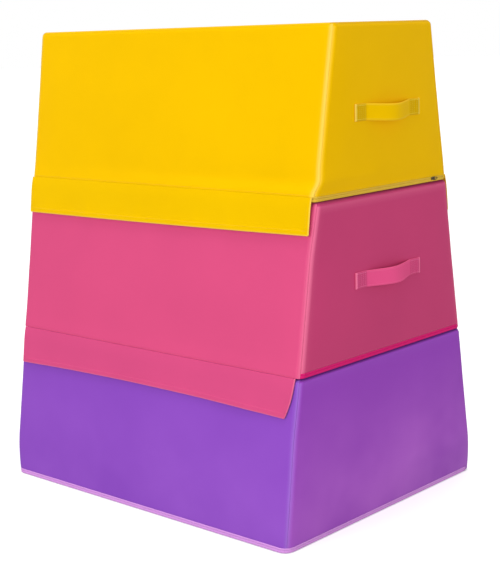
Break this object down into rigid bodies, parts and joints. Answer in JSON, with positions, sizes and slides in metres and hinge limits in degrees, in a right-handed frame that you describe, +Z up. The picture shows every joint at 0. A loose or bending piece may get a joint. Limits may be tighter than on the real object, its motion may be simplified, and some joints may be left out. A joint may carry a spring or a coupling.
{
  "type": "vaulting box",
  "caption": "Soft vaulting box: zipped foam sections that widen towards the base, with webbing end handles and hook-and-loop flaps that hold each section to the one below.",
  "frame": {"origin": "on the floor under the middle of the box", "axes": "+X along the length to the end with the pictured handles, -Y out of the pictured long side, +Z up"},
  "size_m": [0.8066, 0.5776, 0.9006],
  "materials": {
    "foam": "open-cell foam",
    "cover_purple": "coated fabric, satin",
    "cover_pink": "coated fabric, satin",
    "cover_yellow": "coated fabric, satin",
    "zip_tape_lilac": "woven tape with coil teeth",
    "zip_tape_hot_pink": "woven tape with coil teeth",
    "zip_tape_cream": "woven tape with coil teeth",
    "hook_and_loop": "napped tape",
    "webbing_pink": "woven webbing",
    "webbing_yellow": "woven webbing",
    "zip_slider": "dark, worn"
  },
  "bodies": {
    "bottom_section": {"bottom_foam_core": "foam", "bottom_cover_wrap": "cover_purple", "bottom_base_panel": "cover_purple", "bottom_end_panel_left": "cover_purple", "bottom_end_panel_right": "cover_purple", "bottom_zip_tape_lower": "zip_tape_lilac", "bottom_zip_tape_upper": "zip_tape_lilac", "bottom_loop_strip_front": "hook_and_loop", "bottom_loop_strip_back": "hook_and_loop"},
    "middle_section": {"middle_foam_core": "foam", "middle_cover_wrap": "cover_pink", "middle_base_panel": "cover_pink", "middle_end_panel_left": "cover_pink", "middle_end_panel_right": "cover_pink", "middle_zip_tape_lower": "zip_tape_hot_pink", "middle_zip_tape_upper": "zip_tape_hot_pink", "middle_loop_strip_front": "hook_and_loop", "middle_loop_strip_back": "hook_and_loop", "middle_handle_left_tab_front": "webbing_pink", "middle_handle_left_tab_back": "webbing_pink", "middle_handle_right_tab_front": "webbing_pink", "middle_handle_right_tab_back": "webbing_pink"},
    "top_section": {"top_foam_core": "foam", "top_cover_wrap": "cover_yellow", "top_base_panel": "cover_yellow", "top_end_panel_left": "cover_yellow", "top_end_panel_right": "cover_yellow", "top_zip_tape_lower": "zip_tape_cream", "top_zip_tape_upper": "zip_tape_cream", "top_handle_left_tab_front": "webbing_yellow", "top_handle_left_tab_back": "webbing_yellow", "top_handle_right_tab_front": "webbing_yellow", "top_handle_right_tab_back": "webbing_yellow"},
    "middle_flap_front": {"middle_flap_front": "cover_pink", "middle_hook_strip_front": "hook_and_loop"},
    "middle_flap_back": {"middle_flap_back": "cover_pink", "middle_hook_strip_back": "hook_and_loop"},
    "middle_handle_left": {"middle_handle_left_grip": "webbing_pink"},
    "middle_handle_right": {"middle_handle_right_grip": "webbing_pink"},
    "top_flap_front": {"top_flap_front": "cover_yellow", "top_hook_strip_front": "hook_and_loop"},
    "top_flap_back": {"top_flap_back": "cover_yellow", "top_hook_strip_back": "hook_and_loop"},
    "top_handle_left": {"top_handle_left_grip": "webbing_yellow"},
    "top_handle_right": {"top_handle_right_grip": "webbing_yellow"},
    "bottom_zip_slider": {"bottom_zip_slider": "zip_slider"},
    "middle_zip_slider": {"middle_zip_slider": "zip_slider"},
    "top_zip_slider": {"top_zip_slider": "zip_slider"}
  },
  "joints": [
    {"name": "middle_section_lift", "type": "slide", "parent": "bottom_section", "child": "middle_section", "axis": [0, 0, 1], "range_m": [0, 0.35]},
    {"name": "top_section_lift", "type": "slide", "parent": "middle_section", "child": "top_section", "axis": [0, 0, 1], "range_m": [0, 0.35]},
    {"name": "middle_flap_front_hinge", "type": "hinge", "parent": "middle_section", "child": "middle_flap_front", "pos_m": [0, -0.24836, 0.30123], "axis": [-1, 0, 0], "range_deg": [0, 165]},
    {"name": "middle_flap_back_hinge", "type": "hinge", "parent": "middle_section", "child": "middle_flap_back", "pos_m": [0, 0.24836, 0.30123], "axis": [1, 0, 0], "range_deg": [0, 165]},
    {"name": "top_flap_front_hinge", "type": "hinge", "parent": "top_section", "child": "top_flap_front", "pos_m": [0, -0.20117, 0.60923], "axis": [-1, 0, 0], "range_deg": [0, 165]},
    {"name": "top_flap_back_hinge", "type": "hinge", "parent": "top_section", "child": "top_flap_back", "pos_m": [0, 0.20117, 0.60923], "axis": [1, 0, 0], "range_deg": [0, 165]},
    {"name": "middle_handle_left_hinge", "type": "hinge", "parent": "middle_section", "child": "middle_handle_left", "pos_m": [-0.375, 0.0025, 0.4508], "axis": [0, 1, 0], "range_deg": [-30, 30], "stiffness_Nm_per_rad": 0.15},
    {"name": "middle_handle_right_hinge", "type": "hinge", "parent": "middle_section", "child": "middle_handle_right", "pos_m": [0.375, 0.0025, 0.4508], "axis": [0, 1, 0], "range_deg": [-30, 30], "stiffness_Nm_per_rad": 0.15},
    {"name": "top_handle_left_hinge", "type": "hinge", "parent": "top_section", "child": "top_handle_left", "pos_m": [-0.375, 0.0105, 0.7441], "axis": [0, 1, 0], "range_deg": [-30, 30], "stiffness_Nm_per_rad": 0.15},
    {"name": "top_handle_right_hinge", "type": "hinge", "parent": "top_section", "child": "top_handle_right", "pos_m": [0.375, 0.0105, 0.7441], "axis": [0, 1, 0], "range_deg": [-30, 30], "stiffness_Nm_per_rad": 0.15},
    {"name": "bottom_zip_slide", "type": "slide", "parent": "bottom_section", "child": "bottom_zip_slider", "axis": [0, -1, 0], "range_m": [0, 0.493]},
    {"name": "middle_zip_slide", "type": "slide", "parent": "middle_section", "child": "middle_zip_slider", "axis": [0, -1, 0], "range_m": [0, 0.441]},
    {"name": "top_zip_slide", "type": "slide", "parent": "top_section", "child": "top_zip_slider", "axis": [0, -1, 0], "range_m": [0, 0.303]}
  ]
}
